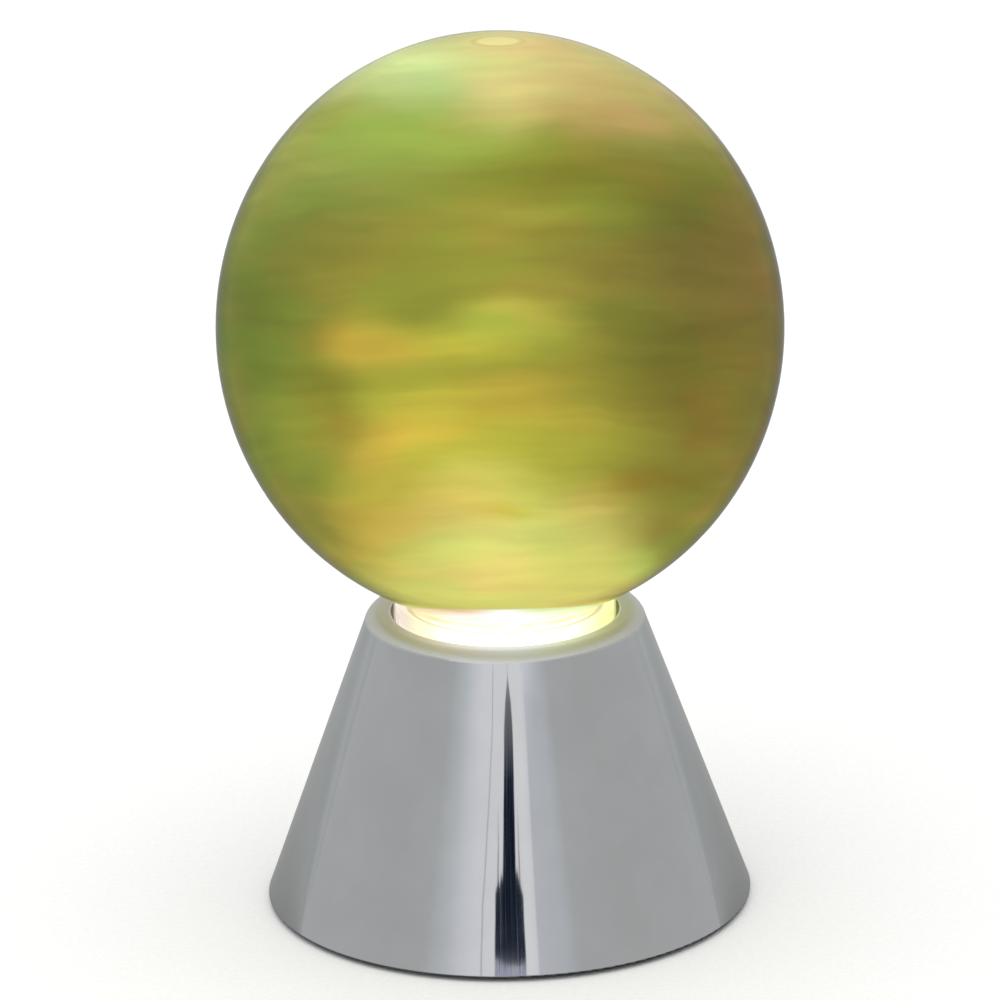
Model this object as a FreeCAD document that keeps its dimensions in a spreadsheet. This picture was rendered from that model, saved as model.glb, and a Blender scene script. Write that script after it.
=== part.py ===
import FreeCAD, Part
import math
import os
import re
import Sketcher
from FreeCAD import Vector, Rotation, Placement

# Table lamp with a slowly turning liquid-filled glass globe.
# Millimetres, +Z up, origin at the centre of the footprint on the table, front towards -Y.
# The globe sits on a clear turntable in the mouth of a hollow cone, a ball race carries the
# turntable, a small gear motor drives it and coloured lamps shine up through its floor.

SIZES = {
    # glass globe, a little taller than wide, filled with pearly liquid up to a small bubble
    "globe_diameter": 150.0,
    "globe_rise": 7.0,
    "globe_wall": 2.6,
    "liquid_gap": 0.1,
    "bubble_radius": 6.6,
    "filler_radius": 8.0,
    "stopper_flange": 10.5,
    "stopper_flange_thickness": 1.3,
    "stopper_reach": 1.0,
    "filler_gap": 0.1,
    # cone-shaped shell
    "base_radius": 65.65,
    "rim_height": 1.0,
    "rim_rounding": 0.6,
    "lip_height": 81.2,
    "lip_width": 6.37,
    "shoulder_rounding": 4.0,
    "lip_rounding": 1.2,
    "shell_wall": 2.2,
    "inner_rounding": 1.0,
    "well_wall": 1.6,
    "part_gap": 0.3,
    # a cutter that goes right through a wall is this many walls long
    "cut_through": 3.0,
    # turntable and its ball race
    "deck_depth": 7.2,
    "deck_thickness": 3.0,
    "deck_edge_rounding": 0.5,
    "race_gap": 1.5,
    "ball_radius": 2.0,
    "ball_clearance": 0.05,
    "race_margin": 0.65,
    "turntable_margin": 0.45,
    "ball_count": 8,
    "cage_thickness": 0.9,
    "cage_width": 4.2,
    "turntable_gap": 1.0,
    "turntable_floor": 2.5,
    "rim_wall": 3.4,
    "rim_ledge": 0.9,
    "ledge_depth": 0.9,
    "pole_gap": 2.8,
    "gasket_thickness": 1.5,
    "gasket_gap": 0.3,
    "edge_rounding": 0.3,
    "hub_bore": 17.3,
    "hub_wall": 2.0,
    "hub_shoulder": 1.0,
    "clip_thickness": 0.9,
    "clip_width": 2.2,
    "clip_depth": 0.6,
    "clip_mouth": 3.1,
    # gear pair
    "gear_module": 1.0,
    "wheel_teeth": 45,
    "pinion_teeth": 15,
    "pressure_angle": 20.0,
    "tooth_addendum": 0.8,
    "tooth_dedendum": 1.1,
    "tooth_backlash": 0.12,
    "wheel_thickness": 5.0,
    "pinion_thickness": 6.0,
    "wheel_drop": 10.5,
    "wheel_clearance": 0.8,
    "fit_clearance": 0.05,
    "press_clearance": 0.02,
    # gear motor
    "motor_radius": 12.0,
    "motor_length": 26.0,
    "gearbox_height": 6.0,
    "ear_offset": 16.0,
    "ear_radius": 3.6,
    "ear_thickness": 2.0,
    "boss_radius": 4.0,
    "boss_height": 1.6,
    "boss_gap": 0.5,
    "shaft_radius": 2.0,
    "shaft_depth": 6.0,
    "shaft_stub": 0.8,
    "terminal_width": 2.4,
    "terminal_thickness": 0.6,
    "terminal_length": 4.0,
    "terminal_offset": 6.0,
    # lamp column
    "post_radius": 13.0,
    "post_wall": 2.0,
    "post_flange": 17.0,
    "post_flange_thickness": 2.0,
    "shelf_thickness": 2.0,
    "wire_hole": 3.0,
    "wire_slot_width": 6.0,
    "wire_slot_height": 9.0,
    "board_rise": 2.0,
    "board_radius": 13.6,
    "board_thickness": 1.6,
    "lamp_ring_radius": 7.0,
    "lamp_width": 3.6,
    "lamp_height": 1.2,
    "lamp_rounding": 0.4,
    "cup_foot": 11.6,
    "cup_mouth": 15.2,
    "cup_wall": 0.8,
    "cup_gap": 0.8,
    # bottom cover, feet and screws
    "cover_thickness": 2.2,
    "cover_recess": 0.6,
    "spigot_height": 4.0,
    "spigot_wall": 1.6,
    "foot_radius": 6.0,
    "foot_inset": 10.0,
    "foot_pocket": 0.8,
    "foot_rounding": 0.6,
    "foot_gap": 0.1,
    "foot_count": 4,
    "cover_boss_inset": 2.1,
    "cover_boss_radius": 3.2,
    "cover_boss_top": 22.0,
    "cover_screw_radius": 1.4,
    "cover_screw_length": 10.0,
    "cover_screw_head": 2.7,
    "cover_head_height": 1.2,
    "small_screw_radius": 0.9,
    "small_screw_length": 4.0,
    "deck_screw_length": 5.0,
    "small_screw_head": 1.7,
    "small_head_height": 1.0,
    "screw_clearance": 0.1,
    "screw_tip_gap": 0.5,
    "deck_boss_radius": 2.2,
    "deck_boss_overlap": 0.6,
    "deck_screw_count": 3,
    "pillar_radius": 3.0,
    "vent_count": 12,
    "vent_margin": 9.0,
    "vent_length": 10.0,
    "vent_width": 2.4,
    # driver board
    "driver_margin": 28.0,
    "driver_length": 26.0,
    "driver_width": 22.0,
    "driver_standoff": 4.0,
    "standoff_radius": 2.2,
    "standoff_inset": 3.0,
    "capacitor_radius": 4.0,
    "capacitor_height": 11.0,
    "capacitor_along": 6.5,
    "capacitor_beside": 4.4,
    "terminal_block_length": 10.0,
    "terminal_block_width": 6.5,
    "terminal_block_height": 8.0,
    "terminal_block_along": 6.5,
    "clamp_pitch": 5.0,
    "clamp_radius": 1.3,
    "clamp_depth": 4.0,
    # push switch and power socket on the rear of the cone
    "fitting_height": 20.0,
    "fitting_angle": 20.0,
    "fitting_recess": 0.9,
    "recess_clearance": 0.2,
    "switch_bezel": 7.6,
    "switch_bezel_height": 1.8,
    "switch_barrel": 5.6,
    "switch_length": 15.0,
    "button_radius": 3.9,
    "button_height": 2.8,
    "button_travel": 2.0,
    "button_well": 6.0,
    "button_end_gap": 0.5,
    "button_rounding": 0.6,
    "nut_thickness": 2.0,
    "nut_width": 2.4,
    "nut_depth": 0.7,
    "jack_bezel": 5.8,
    "jack_bezel_height": 1.4,
    "jack_barrel": 4.2,
    "jack_length": 13.0,
    "jack_bore": 3.1,
    "jack_bore_depth": 9.5,
    "jack_pin": 1.05,
    "jack_pin_recess": 0.6,
}

# Sides of the rear centre line, seen from above: the switch stands at +X, the socket at -X.
SWITCH_SIDE, JACK_SIDE = -1, 1
TINY = 1e-9

# Heights and radii that follow from the sizes above.
DERIVED = {
    "wheel_root": "gear_module * (wheel_teeth / 2 - tooth_dedendum)",
    "wheel_tip": "gear_module * (wheel_teeth / 2 + tooth_addendum)",
    "pinion_root": "gear_module * (pinion_teeth / 2 - tooth_dedendum)",
    "axis_distance": "gear_module * (wheel_teeth + pinion_teeth) / 2",
    "deck_hole": "wheel_tip + wheel_clearance",
    "race_radius": "ball_radius + ball_clearance",
    "track_radius": "deck_hole + race_radius + race_margin",
    "turntable_radius": "track_radius + race_radius + turntable_margin",
    "well_radius": "turntable_radius + turntable_gap",
    "cone_top": "well_radius + lip_width",
    "cone_slope": "(base_radius - cone_top) / (lip_height - rim_height)",
    "wall_across": "shell_wall * sqrt(1 + cone_slope ^ 2)",
    "deck_top": "lip_height - deck_depth",
    "deck_bottom": "deck_top - deck_thickness",
    "deck_radius": "base_radius - (deck_top - rim_height) * cone_slope - wall_across - part_gap",
    "deck_boss_ring": "well_radius + well_wall + deck_boss_radius - deck_boss_overlap",
    "turntable_bottom": "deck_top + race_gap",
    "floor_top": "turntable_bottom + turntable_floor",
    "ball_centre": "deck_top + race_gap / 2",
    "bowl_radius": "turntable_radius - rim_wall",
    "globe_radius": "globe_diameter / 2",
    "globe_half": "globe_radius + globe_rise / 2",
    "globe_centre": "floor_top + pole_gap + globe_half",
    "hole_outside": "globe_centre - globe_half * sqrt(1 - (filler_radius / globe_radius) ^ 2)",
    "hole_inside": "globe_centre - (globe_half - globe_wall)"
                   " * sqrt(1 - (filler_radius / (globe_radius - globe_wall)) ^ 2)",
    "flange_top": "hole_outside - filler_gap",
    "stopper_top": "hole_inside + stopper_reach",
    "gasket_outer": "turntable_radius - rim_ledge",
    "gasket_inner_top": "globe_centre - gasket_gap"
                        " - globe_half * sqrt(1 - (bowl_radius / globe_radius) ^ 2)",
    "gasket_outer_top": "globe_centre - gasket_gap"
                        " - globe_half * sqrt(1 - (gasket_outer / globe_radius) ^ 2)",
    "ledge_top": "(gasket_inner_top + gasket_outer_top) / 2 - gasket_thickness",
    "rim_top": "ledge_top + ledge_depth",
    "hub_radius": "hub_bore + hub_wall",
    "wheel_top": "turntable_bottom - wheel_drop",
    "wheel_bottom": "wheel_top - wheel_thickness",
    "clip_top": "wheel_bottom - press_clearance",
    "hub_bottom": "clip_top - clip_thickness - clip_depth",
    "pinion_bottom": "(wheel_top + wheel_bottom - pinion_thickness) / 2",
    "pinion_top": "pinion_bottom + pinion_thickness",
    "boss_top": "pinion_bottom - boss_gap",
    "ear_top": "boss_top - boss_height",
    "ear_bottom": "ear_top - ear_thickness",
    "gearbox_bottom": "ear_bottom - gearbox_height",
    "motor_bottom": "gearbox_bottom - motor_length",
    "cover_bottom": "rim_height + cover_recess",
    "cover_top": "cover_bottom + cover_thickness",
    "cover_radius": "base_radius - (cover_top - rim_height) * cone_slope - wall_across - part_gap",
    "foot_ring": "cover_radius - foot_inset",
    "cover_boss_ring": "base_radius - (cover_boss_top - rim_height) * cone_slope - wall_across"
                       " - cover_boss_inset",
    "vent_inner": "post_flange + vent_margin",
    "vent_outer": "vent_inner + vent_length",
    "driver_offset": "cover_radius - driver_margin",
    "board_bottom": "hub_bottom + board_rise",
    "board_top": "board_bottom + board_thickness",
    "cup_top": "turntable_bottom - cup_gap",
    "driver_bottom": "cover_top + driver_standoff",
    "driver_top": "driver_bottom + board_thickness",
    "fitting_radius": "base_radius - (fitting_height - rim_height) * cone_slope",
    "fitting_floor": "0 - fitting_recess",
    "inside_face": "0 - shell_wall - nut_depth",
}

document = FreeCAD.newDocument("globe_lamp")
sheet = document.addObject("Spreadsheet::Sheet", "Sizes")
for row, (alias, number) in enumerate(SIZES.items(), start=1):
    sheet.set("A%d" % row, alias)
    sheet.set("B%d" % row, str(number))
    sheet.setAlias("B%d" % row, alias)
document.recompute()

derived = document.addObject("App::VarSet", "Derived")
WORD = re.compile(r"[a-z][a-z_]*[a-z]")


def bound(text):
    """The same formula with each size and derived name led by its holder."""
    def lead(match):
        word = match.group(0)
        if word in SIZES:
            return "Sizes." + word
        return "Derived." + word if word in DERIVED else word
    return WORD.sub(lead, str(text))


for alias, formula in DERIVED.items():
    derived.addProperty("App::PropertyFloat", alias, "Derived")
    derived.setExpression(alias, bound(formula))
    document.recompute()


def value(text):
    """The number that a formula of sizes comes to."""
    return float(derived.evalExpression(bound(text)))


# ---------------------------------------------------------------- drawing helpers

nodes = []


def new_body(label, x=0, y=0, z=0, turn=0, placed=None):
    """One sub-part at x, y, z, turned about the vertical by turn degrees, or at a given place."""
    body = document.addObject("PartDesign::Body", label)
    body.Label = label
    nodes.append(body)
    if placed is not None:
        body.Placement = placed
        return body
    body.Placement = Placement(Vector(), Rotation(Vector(0, 0, 1), value(turn)))
    for axis, place in (("x", x), ("y", y), ("z", z)):
        body.setExpression("Placement.Base." + axis, bound(place))
    return body


def origin_part(body, role):
    return next(f for f in body.Origin.OriginFeatures if f.Role == role)


def new_sketch(body, name, plane="XY_Plane", height=None, placed=None):
    """A sketch on one of the body's planes, raised by height or moved by placed."""
    sketch = body.newObject("Sketcher::SketchObject", name)
    sketch.AttachmentSupport = [(origin_part(body, plane), "")]
    sketch.MapMode = "FlatFace"
    if placed is not None:
        sketch.AttachmentOffset = placed
    if height is not None:
        sketch.setExpression("AttachmentOffset.Base.z", bound(height))
    return sketch


def pin_point(sketch, geometry, end, across, up):
    """Holds one end of a line, or a point, at two bound distances from the origin."""
    for kind, axis, place in (("DistanceX", -2, across), ("DistanceY", -1, up)):
        number = value(place)
        if abs(number) < TINY:
            sketch.addConstraint(Sketcher.Constraint("PointOnObject", geometry, end, axis))
            continue
        index = sketch.addConstraint(Sketcher.Constraint(kind, -1, 1, geometry, end, number))
        sketch.setExpression("Constraints[%d]" % index, bound(place))


def draw_outline(sketch, corners):
    """Closed outline through corners (across, up) or (across, up, rounding)."""
    points = [Vector(value(c[0]), value(c[1]), 0) for c in corners]
    count = len(points)
    entries, exits, arcs = [], [], []
    for i, corner in enumerate(corners):
        before = (points[i] - points[i - 1]).normalize()
        after = (points[(i + 1) % count] - points[i]).normalize()
        if len(corner) < 3:
            entries.append(points[i])
            exits.append(points[i])
            arcs.append(None)
            continue
        radius = value(corner[2])
        turn = before.getAngle(after)
        left = before.cross(after).z > 0
        reach = radius * math.tan(turn / 2)
        entry = points[i] - before * reach
        side = Vector(-before.y, before.x, 0) * (radius if left else -radius)
        centre = entry + side
        begin = math.atan2(entry.y - centre.y, entry.x - centre.x)
        first, last = (begin, begin + turn) if left else (begin - turn, begin)
        arc = Part.ArcOfCircle(Part.Circle(centre, Vector(0, 0, 1), radius), first, last)
        entries.append(entry)
        exits.append(points[i] + after * reach)
        arcs.append((arc, left))
    lines = [sketch.addGeometry(Part.LineSegment(exits[i], entries[(i + 1) % count]))
             for i in range(count)]
    for i, corner in enumerate(corners):
        if arcs[i] is None:
            sketch.addConstraint(Sketcher.Constraint("Coincident", lines[i - 1], 2, lines[i], 1))
            pin_point(sketch, lines[i], 1, corner[0], corner[1])
            continue
        arc, left = arcs[i]
        bend = sketch.addGeometry(arc)
        meet, leave = (1, 2) if left else (2, 1)
        sketch.addConstraint(Sketcher.Constraint("Tangent", lines[i - 1], 2, bend, meet))
        sketch.addConstraint(Sketcher.Constraint("Tangent", bend, leave, lines[i], 1))
        index = sketch.addConstraint(Sketcher.Constraint("Radius", bend, value(corner[2])))
        sketch.setExpression("Constraints[%d]" % index, bound(corner[2]))
        apex = sketch.addGeometry(Part.Point(points[i]), True)
        pin_point(sketch, apex, 1, corner[0], corner[1])
        sketch.addConstraint(Sketcher.Constraint("PointOnObject", apex, 1, lines[i - 1]))
        sketch.addConstraint(Sketcher.Constraint("PointOnObject", apex, 1, lines[i]))


def draw_circle(sketch, across, up, radius):
    centre = Vector(value(across), value(up), 0)
    circle = sketch.addGeometry(Part.Circle(centre, Vector(0, 0, 1), value(radius)))
    pin_point(sketch, circle, 3, across, up)
    index = sketch.addConstraint(Sketcher.Constraint("Radius", circle, value(radius)))
    sketch.setExpression("Constraints[%d]" % index, bound(radius))


def draw_box(sketch, across, up, width, depth):
    """Rectangle of width by depth centred on a point."""
    left, right = "%s - (%s) / 2" % (across, width), "%s + (%s) / 2" % (across, width)
    low, high = "%s - (%s) / 2" % (up, depth), "%s + (%s) / 2" % (up, depth)
    draw_outline(sketch, [(left, low), (right, low), (right, high), (left, high)])


def turned(body, name, corners, kind="PartDesign::Revolution"):
    """Solid, or groove, turned about the vertical axis from an outline of radius and height."""
    sketch = new_sketch(body, name + "_outline", "XZ_Plane")
    draw_outline(sketch, corners)
    feature = body.newObject(kind, name)
    feature.Profile = sketch
    feature.ReferenceAxis = (sketch, ["V_Axis"])
    feature.Angle = 360
    body.Tip = feature
    return feature


def raised(body, name, sketch, length):
    """Material added upwards from the sketch."""
    feature = body.newObject("PartDesign::Pad", name)
    feature.Profile = sketch
    feature.setExpression("Length", bound(length))
    body.Tip = feature
    return feature


def sunk(body, name, sketch, length, upwards=False):
    """Material removed below the sketch, or above it."""
    feature = body.newObject("PartDesign::Pocket", name)
    feature.Profile = sketch
    feature.setExpression("Length", bound(length))
    feature.Reversed = upwards
    body.Tip = feature
    return feature


def repeated(body, name, features, count):
    """The same features again, evenly round the vertical axis."""
    document.recompute()
    pattern = body.newObject("PartDesign::PolarPattern", name)
    pattern.Originals = features
    pattern.Axis = (origin_part(body, "Z_Axis"), [""])
    pattern.Angle = 360
    pattern.setExpression("Occurrences", bound(count))
    body.Tip = pattern
    return pattern


def disc(body, name, across, up, radius, height, length, cut=False, upwards=False):
    """Round pad or pocket that starts at height."""
    sketch = new_sketch(body, name + "_outline", height=height)
    draw_circle(sketch, across, up, radius)
    return sunk(body, name, sketch, length, upwards) if cut else raised(body, name, sketch, length)


def screw(label, radius, head, head_height, length, x, y, z, downwards=False):
    """Round-head screw with its shank up, or down, from the underside of the head."""
    body = new_body(label, x, y, z)
    if downwards:
        corners = [(0, "0 - (%s)" % length), (radius, "0 - (%s)" % length), (radius, 0),
                   (head, 0), (head, head_height, "edge_rounding"), (0, head_height)]
    else:
        corners = [(0, "0 - " + head_height), (head, "0 - " + head_height, "edge_rounding"),
                   (head, 0), (radius, 0), (radius, length), (0, length)]
    turned(body, "shank", corners)
    return body


def on_ring(radius, degrees):
    """Formulas for the two coordinates of a point on a ring about the axis."""
    return ("%s * cos((%s) * 1 deg)" % (radius, degrees), "%s * sin((%s) * 1 deg)" % (radius, degrees))


# ---------------------------------------------------------------- glass globe

def draw_meridian(sketch, inset, start_radius, end_radius):
    """Half of the globe's ellipse, inset from its outside, from the foot up to the crown."""
    centre = Vector(0, value("globe_centre"), 0)
    width, height = value("globe_radius - (%s)" % inset), value("globe_half - (%s)" % inset)
    ellipse = Part.Ellipse(centre + Vector(0, height, 0), centre - Vector(width, 0, 0), centre)
    first = math.asin(value(start_radius) / width) - math.pi
    last = -math.asin(value(end_radius) / width)
    arc = sketch.addGeometry(Part.ArcOfEllipse(ellipse, first, last))
    sketch.exposeInternalGeometry(arc)
    tall, wide = arc + 1, arc + 2
    pin_point(sketch, arc, 3, 0, "globe_centre")
    sketch.addConstraint(Sketcher.Constraint("PointOnObject", tall, 1, -2))
    for line, half in ((tall, "globe_half"), (wide, "globe_radius")):
        formula = "2 * (%s - (%s))" % (half, inset)
        index = sketch.addConstraint(Sketcher.Constraint("Distance", line, value(formula)))
        sketch.setExpression("Constraints[%d]" % index, bound(formula))
    return arc


def reach_of(sketch, arc, end):
    """Start (1) or end (2) point of an arc."""
    return sketch.getPoint(arc, end)


def hold_end(sketch, arc, end, across):
    """Holds one end of the meridian at a bound radius."""
    if abs(value(across)) < TINY:
        sketch.addConstraint(Sketcher.Constraint("PointOnObject", arc, end, -2))
        return
    index = sketch.addConstraint(Sketcher.Constraint("DistanceX", -1, 1, arc, end, value(across)))
    sketch.setExpression("Constraints[%d]" % index, bound(across))


def chain(sketch, points, first, last):
    """Straight lines through points, joined to the given ends (geometry, end) at both ends."""
    lines = [sketch.addGeometry(Part.LineSegment(a, b)) for a, b in zip(points, points[1:])]
    ends = [first] + [(line, 2) for line in lines]
    starts = [(line, 1) for line in lines] + [last]
    for (one, one_end), (two, two_end) in zip(ends, starts):
        sketch.addConstraint(Sketcher.Constraint("Coincident", one, one_end, two, two_end))
    return lines


def make_globe():
    shell = new_body("glass_globe")
    sketch = new_sketch(shell, "globe_outline", "XZ_Plane")
    outside = draw_meridian(sketch, "0", "filler_radius", "0")
    inside = draw_meridian(sketch, "globe_wall", "filler_radius", "0")
    for arc in (outside, inside):
        hold_end(sketch, arc, 1, "filler_radius")
        hold_end(sketch, arc, 2, "0")
    for end in (1, 2):
        points = [reach_of(sketch, outside, end), reach_of(sketch, inside, end)]
        chain(sketch, points, (outside, end), (inside, end))
    turn_sketch(shell, "blown_globe", sketch)

    liquid = new_body("pearl_liquid")
    sketch = new_sketch(liquid, "liquid_outline", "XZ_Plane")
    arc = draw_meridian(sketch, "globe_wall + liquid_gap", "filler_radius", "bubble_radius")
    hold_end(sketch, arc, 1, "filler_radius")
    hold_end(sketch, arc, 2, "bubble_radius")
    floor = value("stopper_top + filler_gap")
    low, high = reach_of(sketch, arc, 1), reach_of(sketch, arc, 2)
    points = [high, Vector(0, high.y, 0), Vector(0, floor, 0), Vector(low.x, floor, 0), low]
    level, axis, above, side = chain(sketch, points, (arc, 2), (arc, 1))
    for line, kind in ((level, "Horizontal"), (above, "Horizontal"), (side, "Vertical")):
        sketch.addConstraint(Sketcher.Constraint(kind, line))
    sketch.addConstraint(Sketcher.Constraint("PointOnObject", axis, 1, -2))
    pin_point(sketch, axis, 2, "0", "stopper_top + filler_gap")
    turn_sketch(liquid, "liquid", sketch)

    stopper = new_body("globe_stopper")
    shank = "filler_radius - filler_gap"
    turned(stopper, "plug", [
        (0, "flange_top - stopper_flange_thickness"),
        ("stopper_flange", "flange_top - stopper_flange_thickness", "edge_rounding"),
        ("stopper_flange", "flange_top"), (shank, "flange_top"),
        (shank, "stopper_top", "edge_rounding"), (0, "stopper_top")])


def turn_sketch(body, name, sketch):
    feature = body.newObject("PartDesign::Revolution", name)
    feature.Profile = sketch
    feature.ReferenceAxis = (sketch, ["V_Axis"])
    feature.Angle = 360
    body.Tip = feature


# ---------------------------------------------------------------- cone and its cover

def cone_radius(height):
    return "base_radius - (%s - rim_height) * cone_slope" % height


def fitting_place(side):
    """Place on the rear of the cone: local +Z is the wall's outward normal."""
    lean = math.degrees(math.atan(value("cone_slope")))
    spin = 90 + side * value("fitting_angle")
    rotation = Rotation(Vector(0, 0, 1), spin).multiply(Rotation(Vector(0, 1, 0), 90 - lean))
    radius, height = value("fitting_radius"), value("fitting_height")
    point = Vector(radius * math.cos(math.radians(spin)), radius * math.sin(math.radians(spin)), height)
    return Placement(point, rotation)


def make_shell():
    body = new_body("cone_shell")
    under_lip = "lip_height - shell_wall"
    well_outside = "well_radius + well_wall"
    turned(body, "spun_cone", [
        ("base_radius", "rim_height", "rim_rounding"),
        ("cone_top", "lip_height", "shoulder_rounding"),
        ("well_radius", "lip_height", "lip_rounding"),
        ("well_radius", "deck_top"),
        (well_outside, "deck_top"),
        (well_outside, under_lip, "inner_rounding"),
        (cone_radius("(%s)" % under_lip) + " - wall_across", under_lip, "inner_rounding"),
        ("base_radius - wall_across", "rim_height")])
    deck_boss = disc(body, "deck_boss", "deck_boss_ring", 0, "deck_boss_radius", "deck_top",
                     "deck_depth - shell_wall / 2")
    repeated(body, "deck_bosses", [deck_boss], "deck_screw_count")
    pilot = disc(body, "deck_pilot", "deck_boss_ring", 0, "small_screw_radius + fit_clearance",
                 "deck_top", "deck_screw_length - deck_thickness + screw_tip_gap", cut=True,
                 upwards=True)
    repeated(body, "deck_pilots", [pilot], "deck_screw_count")
    across, up = on_ring("cover_boss_ring", "180 / foot_count")
    cover_boss = disc(body, "cover_boss", across, up, "cover_boss_radius", "cover_top",
                      "cover_boss_top - cover_top")
    repeated(body, "cover_bosses", [cover_boss], "foot_count")
    pilot = disc(body, "cover_pilot", across, up, "cover_screw_radius + fit_clearance",
                 "cover_top", "cover_screw_length - cover_thickness + cover_head_height + screw_tip_gap",
                 cut=True, upwards=True)
    repeated(body, "cover_pilots", [pilot], "foot_count")
    for side, bezel, barrel in ((SWITCH_SIDE, "switch_bezel", "switch_barrel"),
                                (JACK_SIDE, "jack_bezel", "jack_barrel")):
        name = barrel.split("_")[0]
        for cut, radius, depth in (("recess", bezel + " + recess_clearance", "fitting_recess"),
                                   ("hole", barrel + " + screw_clearance", "shell_wall * cut_through")):
            sketch = new_sketch(body, "%s_%s_outline" % (name, cut), placed=fitting_place(side))
            draw_circle(sketch, 0, 0, radius)
            sunk(body, "%s_%s" % (name, cut), sketch, depth)


def make_cover():
    body = new_body("bottom_cover")
    turned(body, "plate", [
        (0, "cover_bottom"), ("cover_radius", "cover_bottom"),
        ("cover_radius", "cover_top", "edge_rounding"), (0, "cover_top")])
    spigot = new_sketch(body, "spigot_outline", height="cover_top")
    outer = "post_radius - post_wall - fit_clearance"
    draw_circle(spigot, 0, 0, outer)
    draw_circle(spigot, 0, 0, outer + " - spigot_wall")
    raised(body, "spigot", spigot, "spigot_height")
    for along in (-1, 1):
        for beside in (-1, 1):
            x = "%d * (driver_length / 2 - standoff_inset) - driver_offset" % along
            y = "%d * (driver_width / 2 - standoff_inset)" % beside
            disc(body, "standoff", x, y, "standoff_radius", "cover_top", "driver_standoff")
    pocket = disc(body, "foot_pocket", "foot_ring", 0, "foot_radius + foot_gap", "cover_bottom",
                  "foot_pocket", cut=True, upwards=True)
    repeated(body, "foot_pockets", [pocket], "foot_count")
    across, up = on_ring("cover_boss_ring", "180 / foot_count")
    hole = disc(body, "screw_hole", across, up, "cover_screw_radius + screw_clearance",
                "cover_bottom", "cover_thickness", cut=True, upwards=True)
    sink = disc(body, "head_pocket", across, up, "cover_screw_head + screw_clearance",
                "cover_bottom", "cover_head_height", cut=True, upwards=True)
    repeated(body, "screw_holes", [hole, sink], "foot_count")
    vent = new_sketch(body, "vent_outline", height="cover_bottom")
    draw_box(vent, "(vent_inner + vent_outer) / 2", "0", "vent_outer - vent_inner", "vent_width")
    slot = sunk(body, "vent", vent, "cover_thickness", upwards=True)
    repeated(body, "vents", [slot], "vent_count")
    for number in range(int(value("foot_count"))):
        x, y = on_ring("foot_ring", "360 / foot_count * %d" % number)
        foot = new_body("rubber_foot_%d" % (number + 1), x, y)
        turned(foot, "foot", [(0, 0), ("foot_radius", 0, "foot_rounding"),
                              ("foot_radius", "cover_bottom + foot_pocket"),
                              (0, "cover_bottom + foot_pocket")])
        x, y = on_ring("cover_boss_ring", "360 / foot_count * (%d + 1 / 2)" % number)
        screw("cover_screw_%d" % (number + 1), "cover_screw_radius", "cover_screw_head",
              "cover_head_height", "cover_screw_length", x, y, "cover_bottom + cover_head_height")


# ---------------------------------------------------------------- turntable and its bearing

def make_deck():
    body = new_body("bearing_deck")
    turned(body, "plate", [
        ("deck_hole", "deck_bottom"), ("deck_radius", "deck_bottom", "deck_edge_rounding"),
        ("deck_radius", "deck_top"), ("deck_hole", "deck_top")])
    for side in (-1, 1):
        disc(body, "motor_pillar", "axis_distance", "%d * ear_offset" % side, "pillar_radius",
             "ear_top", "deck_bottom - ear_top")
        disc(body, "motor_pilot", "axis_distance", "%d * ear_offset" % side,
             "small_screw_radius + fit_clearance", "ear_top",
             "small_screw_length - ear_thickness + screw_tip_gap", cut=True, upwards=True)
    hole = disc(body, "screw_hole", "deck_boss_ring", 0, "small_screw_radius + screw_clearance",
                "deck_bottom", "deck_thickness", cut=True, upwards=True)
    repeated(body, "screw_holes", [hole], "deck_screw_count")
    race_groove(body)
    for number in range(int(value("deck_screw_count"))):
        x, y = on_ring("deck_boss_ring", "360 / deck_screw_count * %d" % number)
        screw("deck_screw_%d" % (number + 1), "small_screw_radius", "small_screw_head",
              "small_head_height", "deck_screw_length", x, y, "deck_bottom")


def race_groove(body):
    """Ball track: a ring of round section that lies half in the piece."""
    sketch = new_sketch(body, "race_outline", "XZ_Plane")
    draw_circle(sketch, "track_radius", "ball_centre", "race_radius")
    groove = body.newObject("PartDesign::Groove", "race")
    groove.Profile = sketch
    groove.ReferenceAxis = (sketch, ["V_Axis"])
    groove.Angle = 360
    body.Tip = groove


def make_race():
    cage = new_body("ball_cage")
    cage_bottom = "ball_centre - cage_thickness / 2"
    ring = new_sketch(cage, "ring_outline", height=cage_bottom)
    draw_circle(ring, 0, 0, "track_radius + cage_width / 2")
    draw_circle(ring, 0, 0, "track_radius - cage_width / 2")
    raised(cage, "ring", ring, "cage_thickness")
    pocket = disc(cage, "ball_pocket", "track_radius", 0, "race_radius", cage_bottom,
                  "cage_thickness", cut=True, upwards=True)
    repeated(cage, "ball_pockets", [pocket], "ball_count")
    for number in range(int(value("ball_count"))):
        ball = document.addObject("Part::Sphere", "bearing_ball_%d" % (number + 1))
        ball.Label = ball.Name
        ball.setExpression("Radius", bound("ball_radius"))
        x, y = on_ring("track_radius", "360 / ball_count * %d" % number)
        for axis, place in (("x", x), ("y", y), ("z", "ball_centre")):
            ball.setExpression("Placement.Base." + axis, bound(place))
        nodes.append(ball)


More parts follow.
